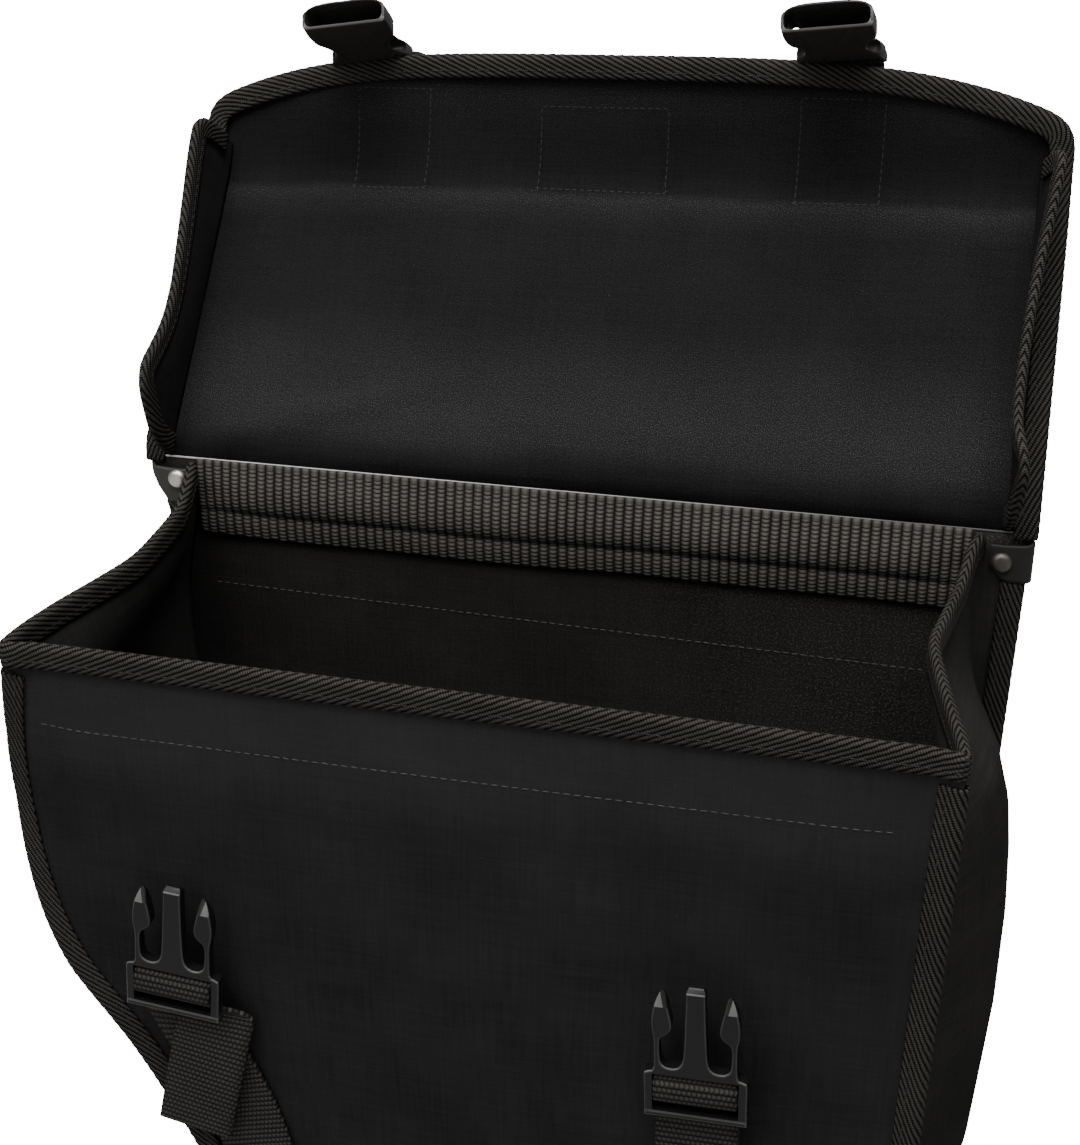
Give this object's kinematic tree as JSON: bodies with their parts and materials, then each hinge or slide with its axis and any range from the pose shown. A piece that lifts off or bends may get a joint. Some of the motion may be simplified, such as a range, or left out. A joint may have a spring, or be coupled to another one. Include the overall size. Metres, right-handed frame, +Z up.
{
  "type": "double pannier bag",
  "caption": "Canvas double pannier bag for a bicycle rack: gusseted bags with taped seams, eared lids, webbing straps and side-release buckles, shown with a lid open.",
  "frame": {"origin": "middle of the bounding box at floor level, half way between the two bags", "axes": "+Z up, -X towards the bicycle's front (heel cuts), -Y towards its left side (the open bag)"},
  "size_m": [0.4023, 0.4939, 0.5766],
  "materials": {
    "canvas": "black waxed canvas, matte",
    "binding": "herringbone binding tape",
    "webbing": "ribbed webbing",
    "plastic": "semi-gloss moulded",
    "vinyl": "smooth vinyl",
    "rivet": "domed nickel",
    "piping": "matte grey strip"
  },
  "bodies": {
    "root": {"left_front_panel": "canvas", "left_gusset": "canvas", "left_back_panel": "canvas", "left_mouth_binding": "binding", "left_front_seam_binding": "binding", "left_back_seam_binding": "binding", "left_hinge_webbing": "webbing", "left_hinge_piping": "piping", "left_lid_panel": "canvas", "left_lid_binding": "binding", "left_lid_ear_fore": "canvas", "left_lid_ear_aft": "canvas", "left_ear_binding_fore": "binding", "left_ear_binding_aft": "binding", "left_corner_tab_fore": "vinyl", "left_corner_tab_aft": "vinyl", "left_rivet_fore": "rivet", "left_rivet_aft": "rivet", "left_lid_strap_fore": "webbing", "left_lid_strap_aft": "webbing", "left_front_strap_fore": "webbing", "left_front_strap_aft": "webbing", "left_buckle_socket_fore": "plastic", "left_buckle_socket_aft": "plastic", "left_buckle_plug_fore": "plastic", "left_buckle_plug_aft": "plastic", "right_front_panel": "canvas", "right_gusset": "canvas", "right_back_panel": "canvas", "right_mouth_binding": "binding", "right_front_seam_binding": "binding", "right_back_seam_binding": "binding", "right_hinge_webbing": "webbing", "right_hinge_piping": "piping", "right_lid_panel": "canvas", "right_lid_binding": "binding", "right_lid_ear_fore": "canvas", "right_lid_ear_aft": "canvas", "right_ear_binding_fore": "binding", "right_ear_binding_aft": "binding", "right_corner_tab_fore": "vinyl", "right_corner_tab_aft": "vinyl", "right_rivet_fore": "rivet", "right_rivet_aft": "rivet", "right_lid_strap_fore": "webbing", "right_lid_strap_aft": "webbing", "right_front_strap_fore": "webbing", "right_front_strap_aft": "webbing", "right_buckle_socket_fore": "plastic", "right_buckle_socket_aft": "plastic", "right_buckle_plug_fore": "plastic", "right_buckle_plug_aft": "plastic", "bridge_panel": "canvas", "bridge_binding_fore": "binding", "bridge_binding_aft": "binding"}
  },
  "joints": []
}
